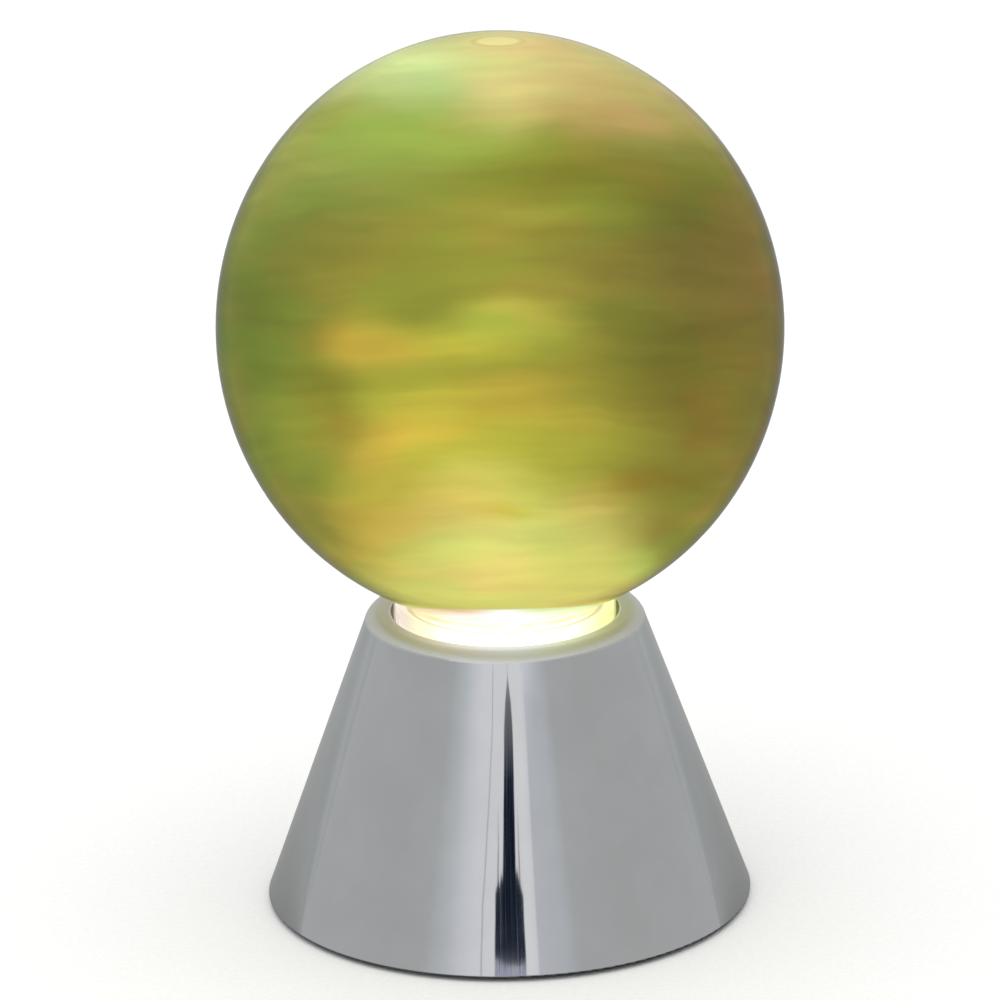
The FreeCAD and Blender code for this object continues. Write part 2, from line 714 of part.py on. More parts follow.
def make_turntable():
    body = new_body("turntable")
    turned(body, "bowl", [
        (0, "turntable_bottom"), ("hub_bore", "turntable_bottom"), ("hub_bore", "hub_bottom"),
        ("hub_radius - press_clearance", "hub_bottom"),
        ("hub_radius - press_clearance", "wheel_top"),
        ("hub_radius + hub_shoulder", "wheel_top"),
        ("hub_radius + hub_shoulder", "turntable_bottom"),
        ("turntable_radius", "turntable_bottom", "edge_rounding"),
        ("turntable_radius", "rim_top", "edge_rounding"),
        ("gasket_outer + press_clearance", "rim_top", "edge_rounding"),
        ("gasket_outer + press_clearance", "ledge_top"),
        ("bowl_radius", "ledge_top"),
        ("bowl_radius", "floor_top", "inner_rounding"), (0, "floor_top")])
    race_groove(body)
    clip_cut = "hub_radius - press_clearance - clip_depth"
    turned(body, "clip_groove", [
        (clip_cut, "clip_top - clip_thickness - press_clearance"),
        ("hub_radius + hub_shoulder", "clip_top - clip_thickness - press_clearance"),
        ("hub_radius + hub_shoulder", "clip_top"), (clip_cut, "clip_top")], "PartDesign::Groove")

    gasket = new_body("seat_gasket")
    turned(gasket, "gasket", [
        ("bowl_radius", "ledge_top"), ("gasket_outer", "ledge_top"),
        ("gasket_outer", "gasket_outer_top"), ("bowl_radius", "gasket_inner_top")])

    clip = new_body("wheel_clip")
    ring = new_sketch(clip, "clip_outline", height="clip_top - clip_thickness")
    inner = clip_cut + " + press_clearance"
    draw_circle(ring, 0, 0, clip_cut + " + clip_width")
    draw_circle(ring, 0, 0, inner)
    raised(clip, "ring", ring, "clip_thickness")
    mouth = new_sketch(clip, "mouth_outline", height="clip_top - clip_thickness")
    draw_box(mouth, inner, "0", "clip_width * cut_through", "clip_mouth")
    sunk(clip, "mouth", mouth, "clip_thickness", upwards=True)


# ---------------------------------------------------------------- gears

def tooth_outline(sketch, teeth, root):
    """One involute tooth, its flanks arcs through three points of the involute."""
    pitch = value("gear_module * %s / 2" % teeth)
    pressure = math.radians(value("pressure_angle"))
    base = pitch * math.cos(pressure)
    tip = pitch + value("gear_module * tooth_addendum")
    foot = value(root)
    half = math.pi / 2 / value(teeth) - value("tooth_backlash") / 2 / pitch + math.tan(pressure) - pressure

    def flank(radius):
        slant = math.acos(min(1, base / radius))
        return half - (math.tan(slant) - slant)

    low = max(foot, base)
    radii = (low, (low + tip) / 2, tip)
    left = [Vector(r * math.cos(flank(r)), r * math.sin(flank(r)), 0) for r in radii]
    right = [Vector(p.x, -p.y, 0) for p in left]
    sunk_root = (foot - value("gear_module * tooth_addendum / 2")) / low
    inner = [Vector(p.x * sunk_root, p.y * sunk_root, 0) for p in (right[0], left[0])]
    pieces = [Part.LineSegment(inner[0], right[0]), Part.Arc(*right),
              Part.LineSegment(right[2], left[2]), Part.Arc(*reversed(left)),
              Part.LineSegment(left[0], inner[1]), Part.LineSegment(inner[1], inner[0])]
    placed = [sketch.addGeometry(piece) for piece in pieces]
    for geometry in placed:
        sketch.addConstraint(Sketcher.Constraint("Block", geometry))


def make_gear(label, teeth, root, bore, bottom, thickness, x="0", turn="0"):
    """Spur gear with a plain bore and one tooth repeated round the rim."""
    body = new_body(label, x=x, turn=turn)
    blank = new_sketch(body, "blank_outline", height=bottom)
    draw_circle(blank, 0, 0, root)
    draw_circle(blank, 0, 0, bore)
    raised(body, "blank", blank, thickness)
    tooth = new_sketch(body, "tooth_outline", height=bottom)
    tooth_outline(tooth, teeth, root)
    pad = raised(body, "tooth", tooth, thickness)
    repeated(body, "teeth", [pad], teeth)


def make_drive():
    make_gear("drive_wheel", "wheel_teeth", "wheel_root", "hub_radius", "wheel_bottom",
              "wheel_thickness")
    # with a tooth of the wheel on the line of centres, the pinion has a space there
    turn = "180 + 180 / pinion_teeth"
    make_gear("drive_pinion", "pinion_teeth", "pinion_root", "shaft_radius + press_clearance",
              "pinion_bottom", "pinion_thickness", x="axis_distance", turn=turn)
    shaft = new_body("motor_shaft", x="axis_distance")
    low, high = "boss_top - shaft_depth + boss_gap", "pinion_top + shaft_stub"
    turned(shaft, "shaft", [(0, low), ("shaft_radius", low), ("shaft_radius", high, "edge_rounding"),
                            (0, high)])


def make_motor():
    body = new_body("gear_motor", x="axis_distance")
    turned(body, "can", [
        (0, "motor_bottom"), ("motor_radius", "motor_bottom", "deck_edge_rounding"),
        ("motor_radius", "ear_top"), ("boss_radius", "ear_top"), ("boss_radius", "boss_top"),
        (0, "boss_top")])
    plate = new_sketch(body, "ear_outline", height="ear_bottom")
    draw_ears(plate)
    raised(body, "ears", plate, "ear_thickness")
    disc(body, "shaft_bore", 0, 0, "shaft_radius + fit_clearance", "boss_top", "shaft_depth", cut=True)
    for side in (-1, 1):
        disc(body, "ear_hole", 0, "%d * ear_offset" % side, "small_screw_radius + screw_clearance",
             "ear_bottom", "ear_thickness", cut=True, upwards=True)
    turned(body, "can_seam", [
        ("motor_radius - terminal_thickness", "gearbox_bottom - terminal_thickness"),
        ("motor_radius + edge_rounding", "gearbox_bottom - terminal_thickness"),
        ("motor_radius + edge_rounding", "gearbox_bottom"),
        ("motor_radius - terminal_thickness", "gearbox_bottom")], "PartDesign::Groove")
    tabs = new_sketch(body, "terminal_outline", height="motor_bottom - terminal_length")
    for side in (-1, 1):
        draw_box(tabs, "0", "%d * terminal_offset" % side, "terminal_width", "terminal_thickness")
    raised(body, "terminals", tabs, "terminal_length")
    for number, side in enumerate((-1, 1), start=1):
        screw("motor_screw_%d" % number, "small_screw_radius", "small_screw_head",
              "small_head_height", "small_screw_length", "axis_distance",
              "%d * ear_offset" % side, "ear_bottom")


def draw_ears(sketch):
    """Long plate with round ends, for the two mounting ears."""
    offset, radius = value("ear_offset"), value("ear_radius")
    sides = [sketch.addGeometry(Part.LineSegment(Vector(x, -x / radius * offset, 0),
                                                 Vector(x, x / radius * offset, 0)))
             for x in (radius, -radius)]
    ends = [sketch.addGeometry(Part.ArcOfCircle(Part.Circle(Vector(0, y, 0), Vector(0, 0, 1), radius),
                                                first, first + math.pi))
            for y, first in ((offset, 0), (-offset, math.pi))]
    right, left = sides
    top, bottom = ends
    for one, one_end, two, two_end in ((right, 2, top, 1), (top, 2, left, 1),
                                       (left, 2, bottom, 1), (bottom, 2, right, 1)):
        sketch.addConstraint(Sketcher.Constraint("Tangent", one, one_end, two, two_end))
    pin_point(sketch, top, 3, "0", "ear_offset")
    pin_point(sketch, bottom, 3, "0", "0 - ear_offset")
    index = sketch.addConstraint(Sketcher.Constraint("Radius", top, radius))
    sketch.setExpression("Constraints[%d]" % index, bound("ear_radius"))


# ---------------------------------------------------------------- lamp column and driver

def make_column():
    post = new_body("lamp_post")
    inner = "post_radius - post_wall"
    turned(post, "tube", [
        (inner, "cover_top"), ("post_flange", "cover_top"),
        ("post_flange", "cover_top + post_flange_thickness", "edge_rounding"),
        ("post_radius", "cover_top + post_flange_thickness"), ("post_radius", "board_bottom"),
        ("wire_hole", "board_bottom"), ("wire_hole", "board_bottom - shelf_thickness"),
        (inner, "board_bottom - shelf_thickness")])
    slot = new_sketch(post, "wire_slot_outline", height="cover_top + post_flange_thickness")
    draw_box(slot, "0 - post_radius", "0", "post_wall * cut_through", "wire_slot_width")
    sunk(post, "wire_slot", slot, "wire_slot_height", upwards=True)

    board = new_body("lamp_board")
    turned(board, "board", [
        ("wire_hole", "board_bottom"), ("board_radius", "board_bottom"),
        ("board_radius", "board_top"), ("wire_hole", "board_top")])
    for number, colour in enumerate(("red", "green", "blue", "amber")):
        angle = 45 + 90 * number
        x, y = on_ring("lamp_ring_radius", angle)
        lamp = new_body("lamp_" + colour, x, y, "board_top", turn=angle)
        chip = new_sketch(lamp, "chip_outline")
        draw_box(chip, "0", "0", "lamp_width", "lamp_width")
        raised(lamp, "chip", chip, "lamp_height")
        disc(lamp, "lens", 0, 0, "lamp_width / 2 - lamp_rounding", "lamp_height", "lamp_rounding")

    cup = new_body("reflector_cup")
    turned(cup, "cup", [
        ("cup_foot", "board_top"), ("board_radius", "board_top"),
        ("board_radius", "board_top + cup_wall"), ("cup_foot + cup_wall", "board_top + cup_wall"),
        ("cup_mouth + cup_wall", "cup_top"), ("cup_mouth", "cup_top")])


def make_driver():
    board = new_body("driver_board", x="0 - driver_offset")
    plate = new_sketch(board, "board_outline", height="driver_bottom")
    draw_box(plate, "0", "0", "driver_length", "driver_width")
    raised(board, "board", plate, "board_thickness")
    capacitor = new_body("driver_capacitor", x="capacitor_along - driver_offset",
                         y="capacitor_beside")
    turned(capacitor, "can", [
        (0, "driver_top"), ("capacitor_radius", "driver_top"),
        ("capacitor_radius", "driver_top + capacitor_height", "lamp_rounding"),
        (0, "driver_top + capacitor_height")])
    block = new_body("terminal_block", x="0 - driver_offset - terminal_block_along")
    outline = new_sketch(block, "block_outline", height="driver_top")
    draw_box(outline, "0", "0", "terminal_block_width", "terminal_block_length")
    raised(block, "block", outline, "terminal_block_height")
    for side in (-1, 1):
        disc(block, "clamp_hole", 0, "%d * clamp_pitch / 2" % side, "clamp_radius",
             "terminal_block_height + driver_top", "clamp_depth", cut=True)


# ---------------------------------------------------------------- rear fittings

def make_fittings():
    switch = new_body("switch_body", placed=fitting_place(SWITCH_SIDE))
    turned(switch, "barrel", [
        (0, "fitting_floor - switch_length"), ("switch_barrel", "fitting_floor - switch_length"),
        ("switch_barrel", "fitting_floor"), ("switch_bezel", "fitting_floor"),
        ("switch_bezel", "fitting_floor + switch_bezel_height", "lamp_rounding"),
        ("button_radius + screw_clearance", "fitting_floor + switch_bezel_height"),
        ("button_radius + screw_clearance", "fitting_floor + switch_bezel_height - button_well"),
        (0, "fitting_floor + switch_bezel_height - button_well")])
    button = new_body("switch_button", placed=fitting_place(SWITCH_SIDE))
    low = "fitting_floor + switch_bezel_height - button_well + button_travel + button_end_gap"
    high = "fitting_floor + switch_bezel_height + button_height"
    turned(button, "button", [
        (0, low), ("button_radius", low), ("button_radius", high, "button_rounding"), (0, high)])
    jack = new_body("power_jack", placed=fitting_place(JACK_SIDE))
    mouth = "fitting_floor + jack_bezel_height"
    turned(jack, "socket", [
        (0, "fitting_floor - jack_length"), ("jack_barrel", "fitting_floor - jack_length"),
        ("jack_barrel", "fitting_floor"), ("jack_bezel", "fitting_floor"),
        ("jack_bezel", mouth, "edge_rounding"), ("jack_bore", mouth),
        ("jack_bore", mouth + " - jack_bore_depth"), ("jack_pin", mouth + " - jack_bore_depth"),
        ("jack_pin", mouth + " - jack_pin_recess", "edge_rounding"),
        (0, mouth + " - jack_pin_recess")])
    for label, barrel, side in (("switch_nut", "switch_barrel", SWITCH_SIDE),
                                ("jack_nut", "jack_barrel", JACK_SIDE)):
        nut = new_body(label, placed=fitting_place(side))
        turned(nut, "nut", [
            (barrel + " + fit_clearance", "inside_face - nut_thickness"),
            (barrel + " + nut_width", "inside_face - nut_thickness", "edge_rounding"),
            (barrel + " + nut_width", "inside_face"), (barrel + " + fit_clearance", "inside_face")])


make_globe()
make_shell()
make_cover()
make_deck()
make_race()
make_turntable()
make_drive()
make_motor()
make_column()
make_driver()
make_fittings()
document.recompute()

# ---------------------------------------------------------------- check and write

for item in document.Objects:
    if "Invalid" in item.State or "Error" in item.State:
        raise RuntimeError("%s failed: %s" % (item.Label, item.State))
os.makedirs("parts", exist_ok=True)
for node in nodes:
    shape = node.Shape
    if shape.isNull() or not shape.isValid() or not shape.Solids:
        raise RuntimeError("%s has no valid solid" % node.Label)
for node in nodes:
    node.Shape.exportStep("parts/%s.step" % node.Label)
    print("%-18s %d solid, %9.1f mm3" % (node.Label, len(node.Shape.Solids), node.Shape.Volume))
print(len(nodes), "nodes")
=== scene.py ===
import bpy
import math
from mathutils import Matrix, Vector


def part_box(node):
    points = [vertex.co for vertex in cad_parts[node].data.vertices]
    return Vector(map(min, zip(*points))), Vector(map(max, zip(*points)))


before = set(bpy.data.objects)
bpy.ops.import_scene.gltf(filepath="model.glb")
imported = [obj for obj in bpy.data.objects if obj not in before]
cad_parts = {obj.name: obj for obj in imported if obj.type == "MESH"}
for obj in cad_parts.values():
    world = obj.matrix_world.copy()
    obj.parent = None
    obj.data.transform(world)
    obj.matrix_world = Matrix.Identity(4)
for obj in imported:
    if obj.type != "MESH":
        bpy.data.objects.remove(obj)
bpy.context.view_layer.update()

MM = 0.001

# Sizes read from the frame, so that every pattern sits where the part is.
globe_low, globe_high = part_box("glass_globe")
bowl_low, bowl_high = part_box("turntable")
shell_low, shell_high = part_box("cone_shell")
liquid_low, liquid_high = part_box("pearl_liquid")
GLOBE_HEIGHT_OVER_WIDTH = 157 / 150
GLOBE_RADIUS = (globe_high.x - globe_low.x) / 2
# the globe's foot is cut off by its filling hole, so its centre is counted from the crown
GLOBE_HALF_HEIGHT = GLOBE_RADIUS * GLOBE_HEIGHT_OVER_WIDTH
GLOBE_CENTRE = globe_high.z - GLOBE_HALF_HEIGHT
LIQUID_RADIUS = (liquid_high.x - liquid_low.x) / 2
LIQUID_HALF_HEIGHT = LIQUID_RADIUS + GLOBE_HALF_HEIGHT - GLOBE_RADIUS

# Camera: a long lens a little above the lamp, as in the photograph.
CAMERA_PITCH = math.radians(18.02)
CAMERA_DISTANCE = 1.5977
CAMERA_TARGET = Vector((-0.0008, 0, 0.11153))
CAMERA_ROLL = math.radians(-1.0)
CAMERA_LENS = 216.0

WHITE = "#FFFFFF"
BLACK = (0, 0, 0, 1)


# ---------------------------------------------------------------- helpers

def linear(code):
    """sRGB hex colour as linear red, green, blue and alpha."""
    parts = [int(code[i:i + 2], 16) / 255 for i in (1, 3, 5)]
    return tuple(p / 12.92 if p <= 0.04045 else ((p + 0.055) / 1.055) ** 2.4 for p in parts) + (1.0,)


def feed(tree, node, sources):
    """Sets a node's inputs, by name or number: a socket is linked and anything else is a value."""
    for name, source in sources.items():
        socket = node.inputs[name]
        if isinstance(source, bpy.types.NodeSocket):
            tree.links.new(source, socket)
        else:
            socket.default_value = source


def add(tree, kind, links=None, **settings):
    """A node with its settings; links maps an input's name or number to a socket or a value."""
    made = tree.nodes.new(kind)
    for name, setting in settings.items():
        setattr(made, name, setting)
    feed(tree, made, links or {})
    return made


def calc(tree, operation, first, second=0.0, third=0.0):
    """Result of a sum on numbers."""
    return add(tree, "ShaderNodeMath", {0: first, 1: second, 2: third}, operation=operation).outputs[0]


def vector(tree, operation, first, second):
    """Result of a sum on vectors."""
    return add(tree, "ShaderNodeVectorMath", {0: first, 1: second}, operation=operation).outputs[0]


def length(tree, of):
    """Length of a vector."""
    return add(tree, "ShaderNodeVectorMath", {0: of}, operation="LENGTH").outputs["Value"]


def hypotenuse(tree, first, second):
    """Distance that two distances at right angles make."""
    squares = calc(tree, "ADD", calc(tree, "POWER", first, 2.0), calc(tree, "POWER", second, 2.0))
    return calc(tree, "SQRT", squares)


def spread(tree, value, first, last, low=0.0, high=1.0, **settings):
    """Number that goes from low to high as the value goes from first to last, and no further."""
    links = {0: value, 1: first, 2: last, 3: low, 4: high}
    return add(tree, "ShaderNodeMapRange", links, **settings).outputs[0]


def noise(tree, place, scale, detail, **more):
    """Grey noise; more gives other inputs by name."""
    links = {"Vector": place, "Scale": scale, "Detail": detail, **more}
    return add(tree, "ShaderNodeTexNoise", links).outputs["Fac"]


def ramp(tree, factor, stops, interpolation="EASE"):
    """Colour ramp with stops of position and colour; a colour is a hex code or linear."""
    made = add(tree, "ShaderNodeValToRGB", {0: factor})
    made.color_ramp.interpolation = interpolation
    elements = made.color_ramp.elements
    while len(elements) < len(stops):
        elements.new(0.5)
    for element, (place, colour) in zip(elements, stops):
        element.position = place
        element.color = linear(colour) if isinstance(colour, str) else colour
    return made.outputs[0]


def blend(tree, factor, first, second, mode="MIX"):
    """Colour that goes from the first to the second; a colour is a socket, a hex code or linear."""
    first, second = (linear(c) if isinstance(c, str) else c for c in (first, second))
    made = add(tree, "ShaderNodeMix", {0: factor, 6: first, 7: second}, data_type="RGBA", blend_type=mode)
    return made.outputs[2]


def whereabouts(tree):
    """Place on the part: the whole vector, and its x, y and z."""
    place = add(tree, "ShaderNodeTexCoord").outputs["Object"]
    return place, add(tree, "ShaderNodeSeparateXYZ", {0: place}).outputs


def material(name):
    """A new material with its node tree and its principled shader."""
    made = bpy.data.materials.new(name)
    made.use_nodes = True
    tree = made.node_tree
    return made, tree, tree.nodes["Principled BSDF"]


def give_relief(tree, shader, height, strength, depth):
    """Fine relief on the surface."""
    bump = add(tree, "ShaderNodeBump", {"Height": height, "Strength": strength, "Distance": depth})
    feed(tree, shader, {"Normal": bump.outputs[0]})


def dress(nodes, made):
    """Gives CAD nodes a finished material."""
    for name in nodes:
        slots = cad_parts[name].data.materials
        slots.clear()
        slots.append(made)


def numbered(stem, count):
    """Names of like pieces, counted from 1."""
    return ["%s_%d" % (stem, i + 1) for i in range(count)]


COLOUR_SPREAD = 0.12
ROUGHNESS_SPREAD = 0.08
LEAST_ROUGHNESS = 0.02
BROAD_SCALE = 40.0
GRAIN_DEPTH = 0.2 * MM
PLASTIC_IOR = 1.5


def surface(name, colour, roughness, metallic=0.0, grain_mm=3.0, bump=0.1):
    """Plain finished surface: slightly uneven colour, roughness and fine relief."""
    made, tree, shader = material(name)
    place = add(tree, "ShaderNodeTexCoord").outputs["Object"]
    grain = noise(tree, place, 1 / (grain_mm * MM), 4.0)
    broad = noise(tree, place, BROAD_SCALE, 2.0)
    base = linear(colour)[:3]
    dark = tuple(c * (1 - COLOUR_SPREAD) for c in base) + (1,)
    light = tuple(min(1, c * (1 + COLOUR_SPREAD)) for c in base) + (1,)
    smooth = max(LEAST_ROUGHNESS, roughness - ROUGHNESS_SPREAD)
    coarse = min(1, roughness + ROUGHNESS_SPREAD)
    feed(tree, shader, {"Base Color": ramp(tree, broad, [(0.3, dark), (0.7, light)]),
                        "Roughness": spread(tree, grain, 0.3, 0.7, smooth, coarse),
                        "Metallic": metallic})
    if not metallic:
        shader.inputs["IOR"].default_value = PLASTIC_IOR
    give_relief(tree, shader, grain, bump, GRAIN_DEPTH)
    return made


# ---------------------------------------------------------------- camera and studio

def make_camera():
    forward = Vector((0, math.cos(CAMERA_PITCH), -math.sin(CAMERA_PITCH)))
    up = Vector((0, math.sin(CAMERA_PITCH), math.cos(CAMERA_PITCH)))
    right = Vector((1, 0, 0))
    turn = Matrix((right, up, -forward)).transposed().to_4x4()
    data = bpy.data.cameras.new("view")
    data.lens = CAMERA_LENS
    data.sensor_width = 36.0
    data.clip_end = 50.0
    camera = bpy.data.objects.new("view", data)
    place = Matrix.Translation(CAMERA_TARGET - forward * CAMERA_DISTANCE)
    camera.matrix_world = place @ turn @ Matrix.Rotation(CAMERA_ROLL, 4, "Z")
    bpy.context.scene.collection.objects.link(camera)
    bpy.context.scene.camera = camera


FLOOR_HALF_SIDE = 6.0
# The floor's mirrored tone, a painted shade greyest next to the lamp, changes over this distance from the
# lamp.
FLOOR_MIRRORED_SHADE_REACH = 2.0


def make_floor():
    """Pale seamless floor; white to the eye, with the lamp's own soft shadow."""
    mesh = bpy.data.meshes.new("floor")
    side = FLOOR_HALF_SIDE
    corners = [(-side, -side, 0), (side, -side, 0), (side, side, 0), (-side, side, 0)]
    mesh.from_pydata(corners, [], [(0, 1, 2, 3)])
    floor = bpy.data.objects.new("floor", mesh)
    bpy.context.scene.collection.objects.link(floor)
    # White paper: matt, with a hardly seen fibre in its tone.
    made, tree, shader = material("studio_floor_white_paper")
    place = add(tree, "ShaderNodeTexCoord").outputs["Object"]
    tone = ramp(tree, noise(tree, place, 700.0, 2.0), [(0.3, "#FBFBFB"), (0.7, WHITE)])
    # painted shade: bright metal mirrors a greyer floor than the eye sees, greyest next to the lamp
    away = calc(tree, "DIVIDE", length(tree, place), FLOOR_MIRRORED_SHADE_REACH)
    grey = ramp(tree, away, [(0.04, "#A9AAAA"), (0.2, "#B0B2B1"), (0.7, "#C4C6C6")])
    mirrored = add(tree, "ShaderNodeLightPath").outputs["Is Glossy Ray"]
    feed(tree, shader, {"Base Color": blend(tree, mirrored, tone, grey),
                        "Roughness": 0.9,
                        "Specular IOR Level": 0.0})
    mesh.materials.append(made)


# Tone of the studio's walls by azimuth in degrees: 0 is in front of the lamp and 90 at its right. Front
# and rear are bright, the sides grey, and a dark strip stands at the right rear.
WALL_TONES = [
    (-180, "#FBFCFF"), (-164, "#F2F4F8"), (-150, "#CED0D0"), (-60, "#C6C8C7"), (-42, "#C9CBCA"),
    (-32, "#D9DEE0"), (-24, "#F0F1F6"), (-18, "#F9FAFE"), (10, "#FFFFFF"), (13, "#F6F7FC"),
    (16, "#F1F3F8"), (21, "#E9EDF1"), (27, "#D5D9DA"), (32, "#C9CBCA"), (60, "#C6C8C6"),
    (142, "#C9CBCA"), (146, "#8C9096"), (150, "#C9CBCA"), (160, "#F4F6FA"), (180, "#FBFCFF"),
]
STEP_TONE = "#D2D4D8"
LINE_TONE = "#8C8A84"
STAND_TONES = [(0.38, "#141C28"), (0.6, "#2C3748"), (0.75, "#7E8496")]
SOLE_TONES = [(0.42, "#8B8DA6"), (0.5, WHITE), (0.6, "#B9BBD2")]
UNDER_SOLE_TONE = "#B4B6CE"
# Azimuth and tone of the stand's two thin legs.
STAND_LEGS = [(-6.1, "#555A66"), (5.4, "#6C5254")]
CEILING_LIGHT = (1.12, 1.12, 1.12, 1)


def make_world():
    """White room. All but the eye sees its grey side walls, its bright front and rear walls and ceiling,
    and the dark stand in front of the lamp, by direction in degrees."""
    world = bpy.data.worlds.new("studio")
    bpy.context.scene.world = world
    world.use_nodes = True
    tree = world.node_tree
    tree.nodes.clear()
    way = add(tree, "ShaderNodeTexCoord").outputs["Generated"]
    x, y, z = add(tree, "ShaderNodeSeparateXYZ", {0: way}).outputs
    front = calc(tree, "MULTIPLY", y, -1.0)
    azimuth = calc(tree, "MULTIPLY", calc(tree, "ARCTAN2", x, front), 180 / math.pi)
    elevation = calc(tree, "MULTIPLY", calc(tree, "ARCSINE", z), 180 / math.pi)

    def band(centre, half_width, soft):
        """Mask of an upright band about an azimuth, with soft sides."""
        off = calc(tree, "ABSOLUTE", calc(tree, "SUBTRACT", azimuth, centre))
        return spread(tree, calc(tree, "SUBTRACT", off, half_width), soft, -soft)

    def falling(first, last, low=0.0, high=1.0):
        """Number that goes from low to high as the elevation falls from first to last."""
        return spread(tree, elevation, first, last, low, high)

    across = spread(tree, azimuth, -180.0, 180.0)
    stops = [((degrees + 180) / 360, tone) for degrees, tone in WALL_TONES]
    wall = ramp(tree, across, stops, "LINEAR")

    # sharp step down at the right of the bright front wall
    step = calc(tree, "MULTIPLY", spread(tree, azimuth, 12.4, 13.6), spread(tree, azimuth, 34.0, 22.0))
    wall = blend(tree, calc(tree, "MULTIPLY", step, falling(20.0, 19.0, 0.0, 0.75)), wall, STEP_TONE)

    # thin dark line that leans away at the left of the bright front wall
    line = band(falling(19.3, 17.6, -10.4, -14.0), 0.3, 0.35)
    line = calc(tree, "MULTIPLY", line, falling(20.25, 20.15, 0.0, 0.5))
    wall = blend(tree, line, wall, LINE_TONE)

    # dark stand: a point at the top, a slim column, a wider ragged foot with a thin leg on each side
    shift = calc(tree, "SUBTRACT", noise(tree, way, 22.0, 2.0), 0.5)
    point = falling(20.15, 19.45, 0.0, 3.1)
    column = falling(19.45, 17.9, 0.0, 0.5)
    foot = spread(tree, calc(tree, "ADD", elevation, shift), 18.15, 17.95, 0.0, 3.7)
    half_width = calc(tree, "ADD", calc(tree, "ADD", point, column), foot)
    centre = calc(tree, "ADD", falling(19.6, 17.8, 1.0, -0.4), calc(tree, "MULTIPLY", shift, 0.6))
    stand = calc(tree, "MULTIPLY", band(centre, half_width, 0.35), falling(20.17, 19.1, 0.6, 1.0))
    streaks = add(tree, "ShaderNodeMapping", {"Vector": way, "Scale": (150.0, 150.0, 30.0)}).outputs[0]
    streaks = noise(tree, streaks, 1.0, 3.0)
    tone = ramp(tree, streaks, STAND_TONES)
    tone = blend(tree, falling(17.30, 17.27), tone, ramp(tree, streaks, SOLE_TONES))
    tone = blend(tree, falling(17.25, 17.22, 0.0, 0.75), tone, UNDER_SOLE_TONE)
    for leg, leg_tone in STAND_LEGS:
        thin = calc(tree, "MULTIPLY", band(leg, 0.25, 0.4), falling(18.8, 18.3, 0.0, 0.8))
        wall = blend(tree, thin, wall, leg_tone)
    wall = blend(tree, stand, wall, tone)

    # the ceiling is brighter than the walls
    wall = blend(tree, spread(tree, elevation, 26.0, 38.0), wall, CEILING_LIGHT)

    path = add(tree, "ShaderNodeLightPath")
    seen = calc(tree, "MAXIMUM", path.outputs["Is Camera Ray"], path.outputs["Is Transmission Ray"])
    light = add(tree, "ShaderNodeBackground", {"Color": blend(tree, seen, wall, WHITE), "Strength": 1.0})
    add(tree, "ShaderNodeOutputWorld", {0: light.outputs[0]})


# Name, place, width in metres and power in watts.
STUDIO_LAMPS = [
    ("overhead", (0.0, 0.1, 1.6), 1.6, 3.4),
    ("front_left", (-1.1, -1.3, 1.2), 1.2, 2.0),
]
LAMPS_AIM = Vector((0, 0, 0.1))


def make_lights():
    """Two large soft lamps overhead and in front."""
    for name, place, size, power in STUDIO_LAMPS:
        data = bpy.data.lights.new(name, "AREA")
        data.shape = "DISK"
        data.size = size
        data.energy = power
        lamp = bpy.data.objects.new(name, data)
        lamp.location = place
        lamp.rotation_euler = (LAMPS_AIM - Vector(place)).to_track_quat("-Z", "Y").to_euler()
        lamp.visible_glossy = False
        bpy.context.scene.collection.objects.link(lamp)


# ---------------------------------------------------------------- light of the seat

# The seat's light reaches this high on the globe's axis, and rises towards the front by this slope.
FLOOD_HEIGHT = bowl_high.z + 0.96 * MM
FLOOD_SLOPE = 0.224
# The ring line in the seat's light, as the eye sees it from the front: its radius and height.
SEAT_RING_RADIUS = bowl_high.x - 3.4 * MM
SEAT_RING_HEIGHT = (shell_high.z + 1.75 * MM) * math.cos(CAMERA_PITCH)
# Colours from the left to the right of the seat, where the coloured lamps part.
SEAT_TINTS = [(0.0, "#EBDDD2"), (0.13, "#FBEFC6"), (0.3, "#FFFBEA"), (0.55, WHITE), (0.8, "#FDFDD6"),
              (1.0, "#F3F7A8")]
FRINGE_TINTS = [(0.1, "#F4D8B0"), (0.3, "#EFC6AA"), (0.5, WHITE), (0.66, "#E2F2B4")]


def across_seat(tree, x):
    """Share of the way from the left to the right of the turntable."""
    return spread(tree, x, bowl_low.x, bowl_high.x)


def above_flood(tree, y, z):
    """Height above the line up to which the globe's foot is flooded with light."""
    return calc(tree, "SUBTRACT", calc(tree, "MULTIPLY_ADD", y, FLOOD_SLOPE, z), FLOOD_HEIGHT)


def seat_light(tree, parts):
    """Colour of the lit seat: rosy, cream, white and lemon from left to right, with a thin olive ring
    line that is widest at its ends."""
    x, y, z = parts
    tint = ramp(tree, across_seat(tree, x), SEAT_TINTS)
    up = calc(tree, "MULTIPLY", z, math.cos(CAMERA_PITCH))
    up = calc(tree, "MULTIPLY_ADD", y, math.sin(CAMERA_PITCH), up)
    up = calc(tree, "SUBTRACT", up, SEAT_RING_HEIGHT)
    wide = calc(tree, "DIVIDE", x, SEAT_RING_RADIUS)
    high = calc(tree, "DIVIDE", up, SEAT_RING_RADIUS * math.sin(CAMERA_PITCH))
    off = calc(tree, "ABSOLUTE", calc(tree, "SUBTRACT", hypotenuse(tree, wide, high), 1.0))
    ring = calc(tree, "MULTIPLY", spread(tree, off, 0.035, 0.01), calc(tree, "LESS_THAN", up, 0.0))
    return blend(tree, ring, tint, "#CFC793")


# ---------------------------------------------------------------- globe

# Glass nearer than this to the outside is the dry skin; anything deeper is wetted by the liquid.
SKIN_DEPTH = 1.3 * MM


